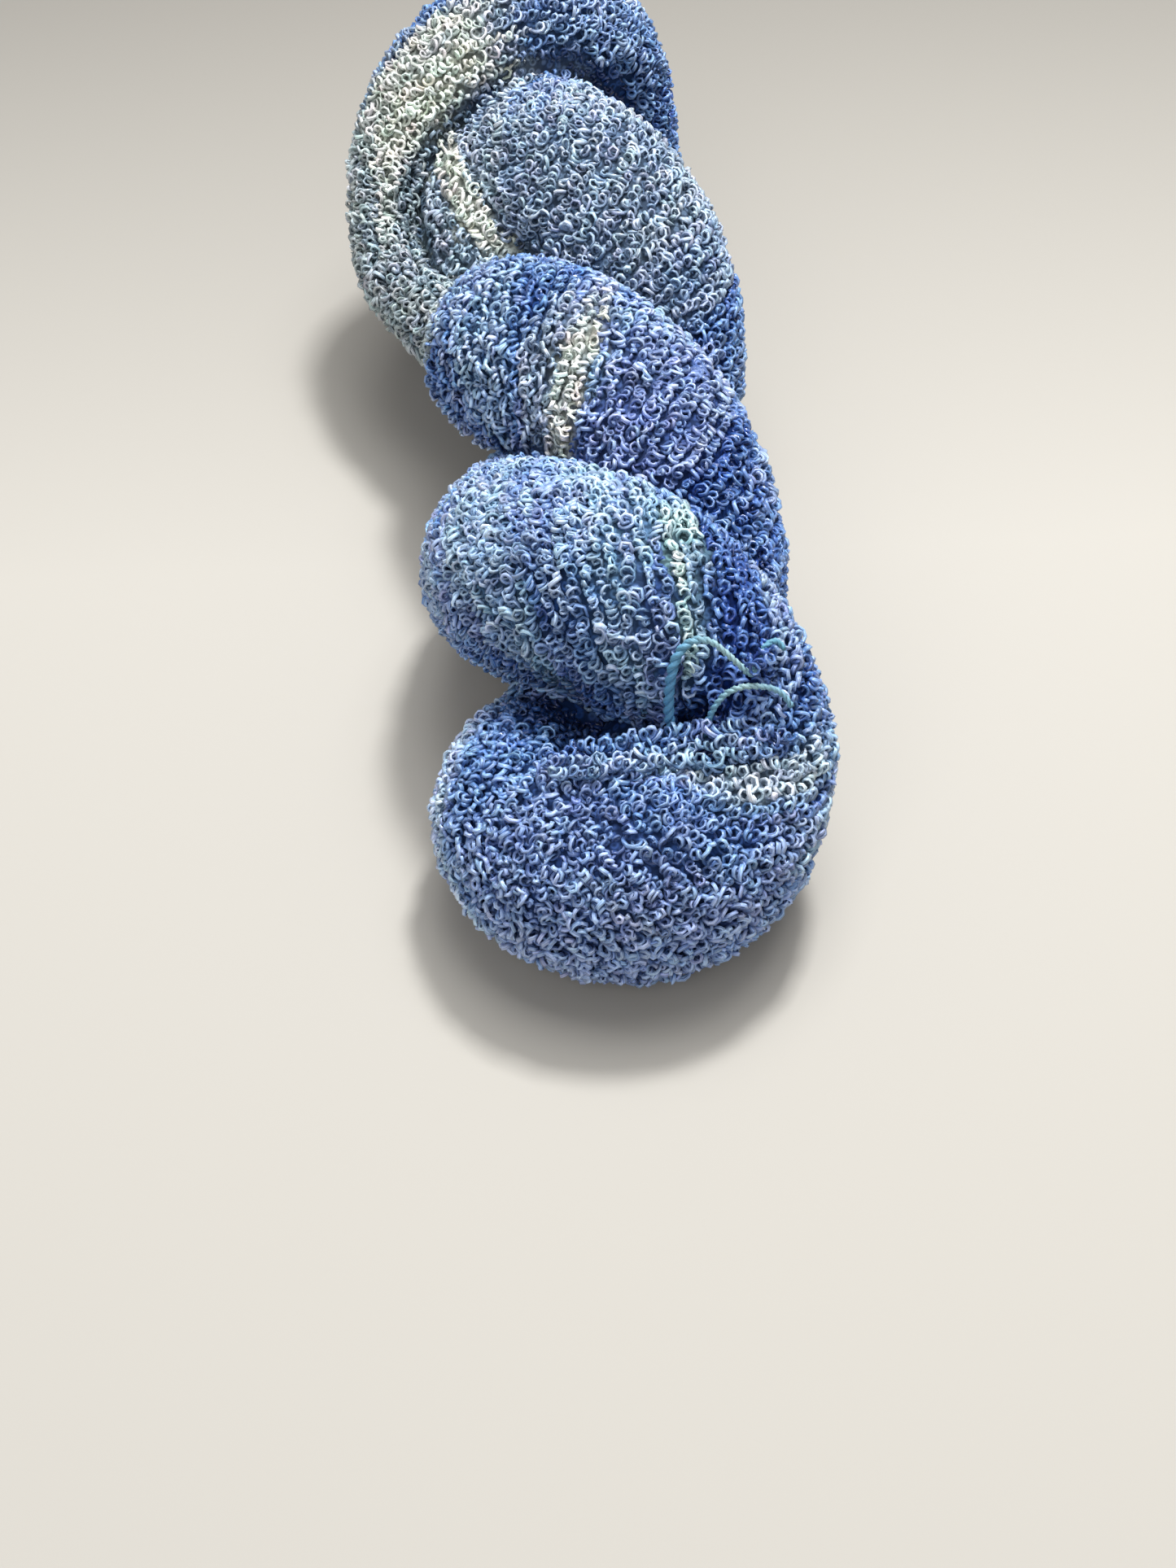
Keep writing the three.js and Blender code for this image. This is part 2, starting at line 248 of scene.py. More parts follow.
def folded_line(start, end):
    """Centre line and radius of the folded skein, from start to end along it, 0 being the fold."""
    s = np.arange(start, end, LINE_STEP)
    y = np.hypot(s, FOLD_BEND) - FOLD_BEND
    x, z, turns, offset, radius = smooth_table(STATIONS, y).T
    reach = offset * s / np.hypot(s, FOLD_BEND)
    angle = np.pi * turns
    return np.stack([x + reach * np.cos(angle), y, z + reach * np.sin(angle)], axis=1) + SHIFT, radius


def bundle_line(rows):
    """Centre line and radius of a bundle, from its rows."""
    rows = np.array(rows, dtype=float)
    key = walked_along(rows[:, :3])
    made = smooth_table(np.column_stack([key, rows]), np.arange(0, key[-1], LINE_STEP))
    return made[:, :3] + SHIFT, made[:, 3]


LINES = {"ply": folded_line(*PLY_ENDS)}
LINES.update({name: bundle_line(rows) for name, rows in BUNDLES.items()})
for name, (centre, radius) in LINES.items():
    print(name, "runs", round(walked_along(centre)[-1]), "mm")

# %% [markdown]
# ## The surface that the yarn lies on
# The outermost strands follow the surface of the wound skein. We keep that surface as a search tree, so
# that any point near it can ask for its nearest place there and for the direction straight out.

# %% Search tree of the skein's surface
MERGE_WITHIN = 1e-6


def merged_copy(node):
    """A bmesh of a node whose loose triangles are joined, with all its faces outwards."""
    made = bmesh.new()
    made.from_mesh(node.data)
    bmesh.ops.remove_doubles(made, verts=made.verts, dist=MERGE_WITHIN)
    bmesh.ops.recalc_face_normals(made, faces=made.faces)
    return made


skein_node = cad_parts["hank"]
skein = merged_copy(skein_node)
surface = BVHTree.FromBMesh(skein)
surface_spots = [tuple(face.calc_center_median()) for face in skein.faces]
surface_spots = np.array(surface_spots + [tuple(v.co) for v in skein.verts])
print("surface of", len(skein.faces), "faces")
skein.free()

# %% [markdown]
# ## Laying the strands
# In a twisted ply every strand winds round the ply's middle. The plies themselves wind the other way,
# so on the outside of the hank the strands end up almost in line with it. A frame that follows the
# line without spinning carries the strands, and their angle grows steadily along it.

# %% A frame that doesn't spin
OFF_EVERY_LINE = (0.3, 0.2, 1.0)


def steady_frame(centre):
    """Two directions across a line at each of its points, which don't spin about it."""
    along = unit(np.gradient(centre, axis=0))
    first = np.zeros_like(centre)
    first[0] = unit(np.cross(along[0], np.cross(OFF_EVERY_LINE, along[0])))
    for i in range(1, len(centre)):
        kept = first[i - 1] - along[i] * (first[i - 1] @ along[i])
        first[i] = kept / np.linalg.norm(kept)
    return first, np.cross(along, first)


print("first way across the ply", steady_frame(LINES["ply"][0])[0][0].round(2))

# %% [markdown]
# A strand is laid on the circle round its line and then moved to the nearest place on the surface. Where
# that is far, the strand runs inside the skein and needn't be made. Where the bundle is thick and the
# strands spread apart, one more fits between each two of them.

# %% Strands of one line
# turn round the line in radians a millimetre
TWISTS = {"ply": 0.095, "eye": 0.02, "inner_half": -0.03, "end_loop": 0.02}
# millimetres: between strands, between two that get another one between them, and down to where one shows
STRAND_GAP = 2.1
WIDEST_GAP = 2.3
DEEPEST = 2.1
# strands with half a number lie between two whole ones, where these spread apart
HALF_STRAND = 0.5
# how much less strands slant on the surface than on their circle, and the fewest points of a run
SLANT_EASE = 1.3
SHORTEST_RUN = 8


def on_circle(centre, radius, first, second, angle):
    """The place of a strand at each point of its line, for its angle there."""
    return centre + radius[:, None] * (np.cos(angle)[:, None] * first + np.sin(angle)[:, None] * second)


def on_surface(points):
    """The nearest places on the skein, the ways out there, and which of the points lie near enough."""
    where, out, near = points.copy(), np.zeros_like(points), np.zeros(len(points), dtype=bool)
    for i, p in enumerate(points):
        hit, normal, _, distance = surface.find_nearest(Vector(p) * MM)
        where[i] = np.array(hit) / MM
        out[i] = normal
        near[i] = distance < DEEPEST * MM
    return where, out, near


def strand_runs(name, twist):
    """Pieces of strands of one line that lie on the surface: their points, directions out and places."""
    centre, radius = LINES[name]
    first, second = steady_frame(centre)
    walked = walked_along(centre)
    typical = float(np.median(radius))
    slant = math.atan(typical * twist / SLANT_EASE)
    count = round(2 * np.pi * typical * math.cos(slant) / STRAND_GAP)
    turn = 2 * np.pi / count
    runs = []
    for number in np.arange(0, count, HALF_STRAND):
        angle = turn * number + twist * walked
        spot = on_circle(centre, radius, first, second, angle)
        where, out, keep = on_surface(spot)
        if number % 1:
            step = (on_circle(centre, radius, first, second, angle + turn / 2)
                    - on_circle(centre, radius, first, second, angle - turn / 2))
            forward = unit(np.gradient(spot, axis=0))
            apart = np.linalg.norm(step - forward * np.sum(step * forward, axis=1, keepdims=True), axis=1)
            keep &= apart > WIDEST_GAP
        edges = np.flatnonzero(np.diff(np.concatenate([[0], keep.astype(int), [0]])))
        for a, b in zip(edges[::2], edges[1::2]):
            if b - a > SHORTEST_RUN:
                runs.append({"line": name, "strand": number, "of": count, "walked": walked[a:b],
                             "points": where[a:b], "out": out[a:b], "slant": slant})
    return runs


print("a strand each", STRAND_GAP, "mm round every line")

# %% All the strands
# how many points to either side a moving average takes in
SOFTEN_POINTS = 4
SOFTEN_OUT = 8


def softened(values, reach):
    """A moving average along a run, with its ends held."""
    kernel = np.hanning(2 * reach + 3)[1:-1]
    padded = np.concatenate([np.repeat(values[:1], reach, 0), values, np.repeat(values[-1:], reach, 0)])
    kernel = kernel / kernel.sum()
    return np.stack([np.convolve(padded[:, k], kernel, "valid") for k in range(values.shape[1])], 1)


runs = []
for name in LINES:
    runs += strand_runs(name, TWISTS[name])
for run in runs:
    run["points"] = softened(run["points"], SOFTEN_POINTS)
    run["out"] = unit(softened(run["out"], SOFTEN_OUT))
print(len(runs), "strands laid along the lines")

# %% [markdown]
# ## Strands that the tie pulls aside
# Where the tie gathers the head, a few strands lie across its rim and over the thread, out of line with
# the rest. They are few, so we lay them one by one, a short row of points each.

# %% Strands about the tie
# where the dye of these strands is read: as on a ply of so many strands, from so many millimetres along it
GATHERED_OF = 33
GATHERED_FROM = 190
GATHERED_SLANT = 0.9
# the way out, then x, y, z of the points of each strand in millimetres
GATHERED = {
    "rim": ((0, -0.3, 0.95), [
        [(-7, -101.5, 35.6), (0, -101.3, 36.2), (6, -101.0, 36.8), (12, -100.6, 37.3), (17, -100.4, 37.8),
         (22, -100.3, 38.0), (27, -99.6, 38.4)],
        [(-4, -100.4, 36.2), (3, -100.3, 37.4), (9, -100.0, 38.3), (14, -99.8, 38.8), (18, -99.8, 39.0),
         (23, -99.6, 39.2)],
        [(-9, -103.0, 35.6), (0, -103.1, 36.4), (8, -102.7, 37.0), (14, -102.3, 37.4), (20, -101.9, 37.6),
         (29, -100.6, 37.6)],
        [(-7, -104.9, 35.8), (2, -105.0, 36.6), (10, -104.6, 37.0), (18, -103.8, 37.2), (27, -102.4, 36.8)],
    ]),
    "over_tie": ((0.2, -0.75, 0.64), [
        [(24.9, -94.4, 48.3), (24.1, -95.6, 47.6), (23.3, -96.5, 46.8), (22.3, -96.9, 46.1)],
        [(26.4, -94.0, 47.5), (25.4, -95.3, 47.0), (24.3, -96.2, 46.3)],
    ]),
}
for name, (direction, routes) in GATHERED.items():
    for number, route in enumerate(routes):
        route = np.array(route, dtype=float)
        key = walked_along(route)
        walked = np.arange(0, key[-1], LINE_STEP)
        points = smooth_table(np.column_stack([key, route]), walked)
        out = np.tile(unit(np.array(direction)), (len(points), 1))
        runs.append({"line": "ply", "strand": number, "of": GATHERED_OF, "walked": GATHERED_FROM + walked,
                     "points": points, "out": out, "slant": GATHERED_SLANT})
print("with those about the tie,", len(runs))

# %% [markdown]
# ## No bare spots
# Where one bundle leaves another, no strand of either may reach the surface between them. Real yarn
# would slide over and close such a gap. So we look for spots that lie far from every strand, and walk
# from each over the surface, in line with the nearest strand, until we meet another one.

# %% A walk over the surface
LONGEST_FILL = 80


def walk_on_surface(start, direction, far_enough):
    """Short steps over the surface from start, until it comes near another strand."""
    points, outs = [], []
    hit, normal, _, _ = surface.find_nearest(Vector(start) * MM)
    for _ in range(LONGEST_FILL):
        points.append(np.array(hit) / MM)
        outs.append(np.array(normal))
        direction = unit(direction - outs[-1] * (direction @ outs[-1]))
        if not far_enough(points[-1]):
            break
        hit, normal, _, _ = surface.find_nearest(Vector(points[-1] + LINE_STEP * direction) * MM)
    return points, outs


print("a walk has at most", LONGEST_FILL, "steps of", LINE_STEP, "mm")

# %% Strands over bare spots
# how far a spot may lie from any strand before it counts as bare, and how near a new strand may come to one
BARE = 1.85
TOUCHING = 1.1
SHORTEST_FILL = 6


def point_tree(points):
    """A search tree that finds the nearest of many points."""
    made = KDTree(len(points))
    for i, p in enumerate(points):
        made.insert(p, i)
    made.balance()
    return made


def far_from(point, others, least):
    return not len(others) or np.min(np.linalg.norm(others - point, axis=1)) >= least


def fill_bare_spots(runs):
    """Short strands on every spot that no strand covers, in line with the nearest one."""
    laid = np.concatenate([run["points"] for run in runs])
    owner = np.concatenate([np.full(len(run["points"]), k) for k, run in enumerate(runs)])
    heading = np.concatenate([unit(np.gradient(run["points"], axis=0)) for run in runs])
    reached = np.concatenate([run["walked"] for run in runs])
    tree = point_tree(laid)
    added, extra = [], np.empty((0, 3))
    for spot in surface_spots / MM:
        _, near, apart = tree.find(spot)
        if apart < BARE or not far_from(spot, extra, BARE):
            continue

        def far_enough(point):
            return tree.find(point)[2] > TOUCHING and far_from(point, extra, TOUCHING)

        ahead, ahead_out = walk_on_surface(spot, heading[near], far_enough)
        behind, behind_out = walk_on_surface(spot, -heading[near], far_enough)
        points = np.array(behind[:0:-1] + ahead)
        if len(points) < SHORTEST_FILL:
            continue
        extra = np.concatenate([extra, points])
        model = runs[owner[near]]
        walked = reached[near] + LINE_STEP * (np.arange(len(points)) - len(behind))
        out = unit(np.array(behind_out[:0:-1] + ahead_out))
        added.append({"line": model["line"], "strand": model["strand"] + HALF_STRAND, "of": model["of"],
                      "walked": walked, "points": points, "out": out, "slant": model["slant"]})
    return added


filled = fill_bare_spots(runs)
print(len(filled), "strands over bare spots")
runs += filled
total = sum(walked_along(run["points"])[-1] for run in runs)
print(len(runs), "runs of strands,", round(total), "mm in all")

# %% [markdown]
# ## The dye
# The skein was dyed by hand before it was twisted, in patches that soak along the strands. So a patch is
# long one way, along the strands, and has a sharp edge the other way, where one strand lies next to
# another from elsewhere in the skein. We name a few tones, and place each patch by one point on it.

# %% Tones and patches
def from_screen(red, green, blue):
    """A colour as a screen shows it, 0 to 255, in the linear values that shaders use."""
    c = np.array([red, green, blue]) / 255
    return np.where(c <= 0.04045, c / 12.92, ((c + 0.055) / 1.055) ** 2.4)


SCREEN_TONES = {
    "royal": (100, 134, 192), "blue": (130, 164, 208), "periwinkle": (158, 176, 214),
    "sky": (178, 204, 226), "mist": (188, 202, 214), "teal": (200, 222, 222),
    "ash": (178, 188, 186), "cream": (240, 243, 236),
}
TONES = {name: from_screen(*tone) for name, tone in SCREEN_TONES.items()}
BASE_RAMP = [(0.0, "royal"), (0.45, "blue"), (0.75, "periwinkle"), (1.0, "sky")]
# x, y, z of a point on the patch, half length, half width in millimetres, tone, strength
PATCHES = [
    (12.1, -45.8, 51.1, 26, 10.5, "periwinkle", 0.8),
    (-5.9, -34.1, 47.5, 16, 4.6, "mist", 0.7),
    (-1.5, -38.4, 49.1, 20, 3.0, "cream", 0.9),
    (-15.5, -21.3, 44.6, 18, 7.0, "sky", 0.6),
    (-15.6, -72.9, 46.4, 20, 7.0, "sky", 0.6),
    (2.0, -82.8, 54.5, 16, 6.0, "sky", 0.45),
    (15.0, -83.5, 54.5, 13, 3.0, "teal", 0.85),
    (22.8, -90.6, 47.8, 16, 6.5, "royal", 0.95),
    (26.6, -105.6, 34.2, 15, 6.0, "sky", 0.5),
    (26.6, -105.6, 34.2, 11, 3.2, "cream", 0.45),
    (-10.6, -91.2, 30.0, 22, 9.0, "blue", 0.7),
    (-13.7, -107.4, 30.2, 18, 8.0, "blue", 0.6),
    (1.3, -113.0, 33.8, 22, 12.0, "blue", 0.4),
    (-0.5, -123.7, 21.3, 26, 12.0, "periwinkle", 0.55),
    (3.0, 19.2, 53.2, 34, 22.0, "mist", 0.75),
    (-14.3, 46.4, 48.3, 30, 10.0, "mist", 0.75),
    (25.1, 8.6, 46.1, 26, 10.0, "mist", 0.6),
    (-17.5, 20.9, 39.4, 26, 16.0, "mist", 0.6),
    (-12.4, 35.7, 48.2, 24, 6.0, "mist", 0.85),
    (-21.2, 24.0, 37.5, 34, 12.0, "mist", 0.85),
    (-31.4, 23.9, 38.0, 45, 40.0, "ash", 0.8),
    (-27.5, 38.0, 45.0, 22, 3.0, "cream", 0.6),
    (-22.2, 47.8, 54.4, 18, 5.0, "cream", 0.85),
    (-9.8, 55.7, 60.9, 28, 11.0, "cream", 0.85),
    (-17.1, 30.8, 43.9, 20, 3.2, "cream", 0.95),
    (16.2, 63.8, 53.7, 24, 10.0, "blue", 0.8),
]
print(len(TONES), "tones in", len(PATCHES), "patches")

# %% Smooth noise
NOISE_CELLS = 64


def value_noise(x, y, seed):
    """Smooth noise from 0 to 1 on a plane: random values at whole numbers, blended between them."""
    grid = np.random.default_rng(seed).uniform(0, 1, (NOISE_CELLS, NOISE_CELLS))
    i, j = np.floor(x).astype(int), np.floor(y).astype(int)
    u, v = x - i, y - j
    u, v = u * u * (3 - 2 * u), v * v * (3 - 2 * v)
    left, right = i % NOISE_CELLS, (i + 1) % NOISE_CELLS
    low, high = j % NOISE_CELLS, (j + 1) % NOISE_CELLS
    return ((1 - u) * (1 - v) * grid[left, low] + u * (1 - v) * grid[right, low]
            + (1 - u) * v * grid[left, high] + u * v * grid[right, high])


print("noise at one place", value_noise(np.array([4.2]), np.array([2.5]), 1).round(2))

# %% Where the patches are
laid_points = np.concatenate([run["points"] for run in runs])
owner = np.concatenate([np.full(len(run["points"]), k) for k, run in enumerate(runs)])
place_in_run = np.concatenate([np.arange(len(run["points"])) for run in runs])
patches = []
for x, y, z, long, wide, tone, strength in PATCHES:
    nearest = int(np.argmin(np.linalg.norm(laid_points - (x, y, z), axis=1)))
    run = runs[owner[nearest]]
    at = run["walked"][place_in_run[nearest]]
    patches.append((run["line"], run["strand"], at, long, wide, tone, strength))
print("patches on each line", {name: sum(patch[0] == name for patch in patches) for name in LINES})

# %% [markdown]
# Between the patches the blues drift. Three sizes of noise, read along and across the strands, stand
# for how the dye ran. Each strand also has a little of its own, as neighbours in the twisted skein lay
# apart from each other in the dye bath.

# %% The drift of the blues
# share of each noise, its length along and width across the strands in millimetres, a strand's own shift
DRIFTS = [(0.45, 26, 9, 0.25), (0.35, 9, 3.1, 0), (0.20, 3.5, 1.7, 0)]
OWN_LEVEL = 0.06
LOWEST_LEVEL, LEVEL_SPAN = 0.22, 0.56
LINES_APART = 37.0


def strand_key(run):
    """Where a strand lies across the noise. Lines lie far apart there."""
    return LINES_APART * list(LINES).index(run["line"]) + run["strand"] * STRAND_GAP


def drift_of(run, walked, own):
    """The blue at each point of a run, before any patch."""
    level = np.zeros(len(walked))
    for number, (share, long, wide, shift) in enumerate(DRIFTS):
        across = np.full_like(walked, strand_key(run) / wide)
        level += share * value_noise(walked / long + own[0] * shift, across, number + 1)
    level = np.clip((level + OWN_LEVEL * own[1] - LOWEST_LEVEL) / LEVEL_SPAN, 0, 1)
    stops = np.array([stop for stop, _ in BASE_RAMP])
    tones = np.array([TONES[tone] for _, tone in BASE_RAMP])
    return np.stack([np.interp(level, stops, tones[:, k]) for k in range(3)], axis=1)


print("noises of", [long for _, long, _, _ in DRIFTS], "mm along the strands")

# %% The dye of each strand
# how raggedly a patch begins at its sides, in millimetres, and at its ends, in shares of its length
RAGGED_SIDE = 0.7
RAGGED_END = (-0.3, 0.1)
SIDE_FADE = 0.8
END_FADE = 0.45
MOTTLE, MOTTLE_LONG, MOTTLE_WIDE, MOTTLE_SEED = (0.8, 0.4), 3, 1.3, 4
SEEDS_A_LINE = 1000


def dye_of(run):
    """The colour at each point of a run."""
    stretch = math.cos(run["slant"])
    walked = run["walked"] / stretch
    ragged = np.random.default_rng(int(2 * run["strand"]) + SEEDS_A_LINE * list(LINES).index(run["line"]))
    colour = drift_of(run, walked, ragged.uniform(-1, 1, 3))
    across = np.full_like(walked, strand_key(run) / MOTTLE_WIDE)
    mottle = value_noise(walked / MOTTLE_LONG, across, MOTTLE_SEED)
    for line, strand, at, long, wide, tone, strength in patches:
        if line != run["line"]:
            continue
        apart = (run["strand"] - strand + run["of"] / 2) % run["of"] - run["of"] / 2
        across = abs(apart) * STRAND_GAP + ragged.uniform(-RAGGED_SIDE, RAGGED_SIDE)
        along = np.abs(walked - at / stretch) + ragged.uniform(*RAGGED_END) * long
        weight = strength * np.clip((wide - across) / SIDE_FADE, 0, 1)
        weight = weight * np.clip((long - along) / (END_FADE * long), 0, 1)
        weight = np.clip(weight * (MOTTLE[0] + MOTTLE[1] * mottle), 0, 1)[:, None]
        colour = colour * (1 - weight) + TONES[tone] * weight
    return colour


for run in runs:
    run["dye"] = dye_of(run)
all_dyes = np.concatenate([run["dye"] for run in runs])
print("mean dye, in linear values", all_dyes.mean(axis=0).round(3))

# %% [markdown]
# ## Which strands lie in a crease
# In the grooves between bundles the yarn is pressed flat and little light comes in. From a few points
# on every strand we send out feelers and count those that meet nothing. Later the curls use that share:
# in a crease they are smaller, lie deeper and get painted shade.

# %% How open each strand lies
FEELER_STEP = 8
FEELER_REACH = 14
FEELER_COUNT = 12
FEELER_SPREAD = 0.9
FEELER_SEED = 5
FEELERS = FEELER_SPREAD * unit(np.random.default_rng(FEELER_SEED).normal(size=(FEELER_COUNT, 3)))


def openness(run):
    """From 0 in a narrow crease to 1 in the open, by feelers sent out from the strand."""
    at = np.append(np.arange(0, len(run["points"]) - 1, FEELER_STEP), len(run["points"]) - 1)
    found = []
    for i in at:
        start = Vector(run["points"][i] + run["out"][i]) * MM
        ways = unit(run["out"][i] + FEELERS)
        free = sum(surface.ray_cast(start, Vector(way), FEELER_REACH * MM)[0] is None for way in ways)
        found.append(free / len(ways))
    return np.interp(np.arange(len(run["points"])), at, found)


for run in runs:
    run["open"] = openness(run)
print("strands in the open", round(float(np.mean(np.concatenate([run["open"] for run in runs]))), 2))

# %% [markdown]
# ## Curls
# The effect thread of boucle goes round and round as it moves along, like a pen drawing loops. A point
# that circles while it moves gives just that. Each loop gets its own size and its own slope, so some
# lie flat and show as rings, and others stand up.

# %% Sizes of the curls
# millimetres along the strand from one loop to the next: at the head, at the far end and underneath
PITCH = 0.98
FAR_PITCH = 1.15
HIDDEN_PITCH = 2.8
LOOP_STEPS = 8
SIDES = 3
# the smallest and largest radius of a loop and of its thread
LOOP_RADIUS = (0.48, 1.18)
THREAD = (0.27, 0.44)
across_curls = [round(2 * (loop + thread), 1) for loop, thread in zip(LOOP_RADIUS, THREAD)]
print("a curl is", across_curls, "mm across, one each", PITCH, "mm")

# %% [markdown]
# Here and there the curls are pulled tight, and the strand shows as a thin pale chain. It is the same
# yarn with smaller loops, so we only say where that happens and how strongly.

# %% Where the curls are tight
# x, y, z of points near which the curls are pulled tight
TIGHT_AT = np.array([(-5, -82, 51), (4, -88, 53), (14, -84, 54.5), (-11, -77, 48), (-1, -74, 56)])
# how near a strand lies to such a point, how far the tight stretch goes, and how tight it is at most
TIGHT_NEAR, TIGHT_REACH, TIGHT_MOST = 0.9, 4.0, 0.85
# the share of strands that have another tight stretch, its half length in steps, and how tight it is
TIGHT_SHARE, TIGHT_HALF, TIGHT_OTHERS = 0.07, (5, 14), 0.6
# how many reaches or half lengths from its middle a tight stretch ends
REACHES_OUT, HALVES_OUT = 1.6, 1.5


def tightness(run, rng):
    """From 0 to 1, how tightly the curls are pulled on the core, at each point of a run."""
    points = run["points"]
    tight = np.zeros(len(points))
    if rng.random() < TIGHT_SHARE:
        middle, half = rng.uniform(0, len(points)), rng.uniform(*TIGHT_HALF)
        tight = TIGHT_OTHERS * np.clip(HALVES_OUT - np.abs(np.arange(len(points)) - middle) / half, 0, 1)
    for point in TIGHT_AT:
        away = np.linalg.norm(points - point, axis=1)
        if away.min() < TIGHT_NEAR:
            tight = np.maximum(tight, TIGHT_MOST * np.clip(REACHES_OUT - away / TIGHT_REACH, 0, 1))
    return tight


print(len(TIGHT_AT), "tight places by hand, and one on a strand in", round(1 / TIGHT_SHARE))

# %% [markdown]
# Each loop turns about its own direction (yaw) and lies down or stands up (lean). Halfway to the next
# loop these blend, so the thread never breaks. What lies deep or in a crease gets painted shade: it is
# painted darker and stronger in colour.

# %% Turns of the curls
# from which y and over how far the loops move apart, and how far down a strand faces when it is hidden
FAR_FROM, FAR_SPAN = -40, 80
HIDDEN_FROM, HIDDEN_SPAN = 0.25, 0.5


def loop_turns(run):
    """How many loops have been made at each point of a run. Far off and underneath they lie wider apart."""
    steps = np.linalg.norm(np.diff(run["points"], axis=0), axis=1)
    hidden = np.clip((-run["out"][1:, 2] - HIDDEN_FROM) / HIDDEN_SPAN, 0, 1)
    pitch = PITCH + (FAR_PITCH - PITCH) * np.clip((run["points"][1:, 1] - FAR_FROM) / FAR_SPAN, 0, 1)
    return np.concatenate([[0], np.cumsum(steps / (pitch + (HIDDEN_PITCH - pitch) * hidden))])


def varied(rng, turns, low, high):
    """A column of values that moves to a new random one between low and high at every loop."""
    aims = np.arange(turns[-1] + 2)
    return np.interp(turns, aims, rng.uniform(low, high, len(aims)))[:, None]


def read_at(at, walked, values):
    """Rows of values along a run, read at other places."""
    return np.stack([np.interp(at, walked, values[:, k]) for k in range(3)], axis=1)


print("the first strand makes", int(loop_turns(runs[0])[-1]), "loops")

# %% The thread of one run
# how far a loop is out of step, how it turns and leans in radians, how far aside and below it lies
WOBBLE = 0.35
YAW = 2.4
LEAN = (0.35, 1.4)
DRIFT = 0.75
LIFT = (-1.4, -0.25)
# where a strand counts as shut in a crease, and what that and tightness take off the size and the height
SHUT_BELOW, SHUT_SPAN = 0.8, 0.5
SHUT_SMALLER, SHUT_LOWER = 0.3, 0.9
TIGHT_SMALLER, TIGHT_FLATTER = 0.3, 0.4
# how high the thread lies before painted shade begins, over how much height that shade grows, and how much
# painted shade a crease adds
TOP, DEEP_SPAN, CREASE_SHADE = 0.1, 1.7, 0.8


def curl_thread(run, rng):
    """The looping thread of a run: its points, the way across, turns, places, its painted shade and
    tightness.
    """
    walked, turned = walked_along(run["points"]), loop_turns(run)
    loops = max(2, int(turned[-1]))
    turns = np.arange(loops * LOOP_STEPS + 1) / LOOP_STEPS
    wobble = varied(rng, turns, -WOBBLE, WOBBLE)[:, 0]
    at = np.interp((turns + wobble) / loops * turned[-1], turned, walked)
    up = unit(read_at(at, walked, run["out"]))
    forward = unit(read_at(at, walked, np.gradient(run["points"], axis=0)))
    aside = np.cross(up, forward)
    shut = np.clip((SHUT_BELOW - np.interp(at, walked, run["open"])) / SHUT_SPAN, 0, 1)[:, None]
    tight = np.interp(at, walked, tightness(run, rng))[:, None]
    yaw = varied(rng, turns, -YAW, YAW)
    lean = varied(rng, turns, *LEAN)
    size = varied(rng, turns, *LOOP_RADIUS) * (1 - SHUT_SMALLER * shut) * (1 - TIGHT_SMALLER * tight)
    drift = varied(rng, turns, -DRIFT, DRIFT)
    lift = varied(rng, turns, *LIFT) * (1 - TIGHT_FLATTER * tight) - SHUT_LOWER * shut
    first = np.cos(yaw) * forward + np.sin(yaw) * aside
    second = np.cos(lean) * (np.cos(yaw) * aside - np.sin(yaw) * forward) + np.sin(lean) * up
    phase = 2 * np.pi * turns[:, None]
    middle = read_at(at, walked, run["points"]) + drift * aside + lift * up
    line = middle + size * (np.cos(phase) * first + np.sin(phase) * second)
    height = lift + size * np.sin(phase) * np.sin(lean)
    # painted shade: the lower the thread lies under the top, and the more it is shut in a crease, the more
    # shade
    depth_shade = np.clip((TOP - height) / DEEP_SPAN, 0, 1) + CREASE_SHADE * shut
    return line, np.cross(first, second), turns, at, depth_shade, tight


print("a loop has", LOOP_STEPS, "steps")

# %% The curls of one run
TIGHT_CREAM = 0.25
# painted shade on deep thread: how much stronger its colour gets, how light it is on top and how much
# darker deep down
SHADE_POWER = 1.3
TOP_LIGHT, DEEP_SHADE = 1.2, 0.45
LIGHTNESS = (0.75, 1.25)
# from and to for red, green and blue
TINTS = [(0.9, 1.12), (0.94, 1.06), (0.98, 1.02)]


def curls(run, rng):
    """The tube of a run's curls, the places of its rings along the run, and their colours, with painted
    shade where they lie deep or in a crease.
    """
    line, across, turns, at, depth_shade, tight = curl_thread(run, rng)
    made = tube(line, across, varied(rng, turns, *THREAD)[:, 0], SIDES)
    tint = np.concatenate([varied(rng, turns, *span) for span in TINTS], axis=1)
    dye = read_at(at, walked_along(run["points"]), run["dye"])
    dye = dye + (TONES["cream"] - dye) * TIGHT_CREAM * tight
    # painted shade where the thread lies deep, times a random lightness of each loop
    light = (TOP_LIGHT - DEEP_SHADE * depth_shade) * varied(rng, turns, *LIGHTNESS)
    return made, at, dye ** (1 + SHADE_POWER * depth_shade) * light * tint


sample = curls(runs[0], np.random.default_rng(0))
print("its curls have", len(sample[1]), "rings of points")

# %% [markdown]
# All the strands of a line go into a few large meshes, each kept under a set number of triangles.

# %% A mesh of many strands
ABOVE_FLOOR = 0.05
STREAK_SHIFT = 500
LARGEST = 190000


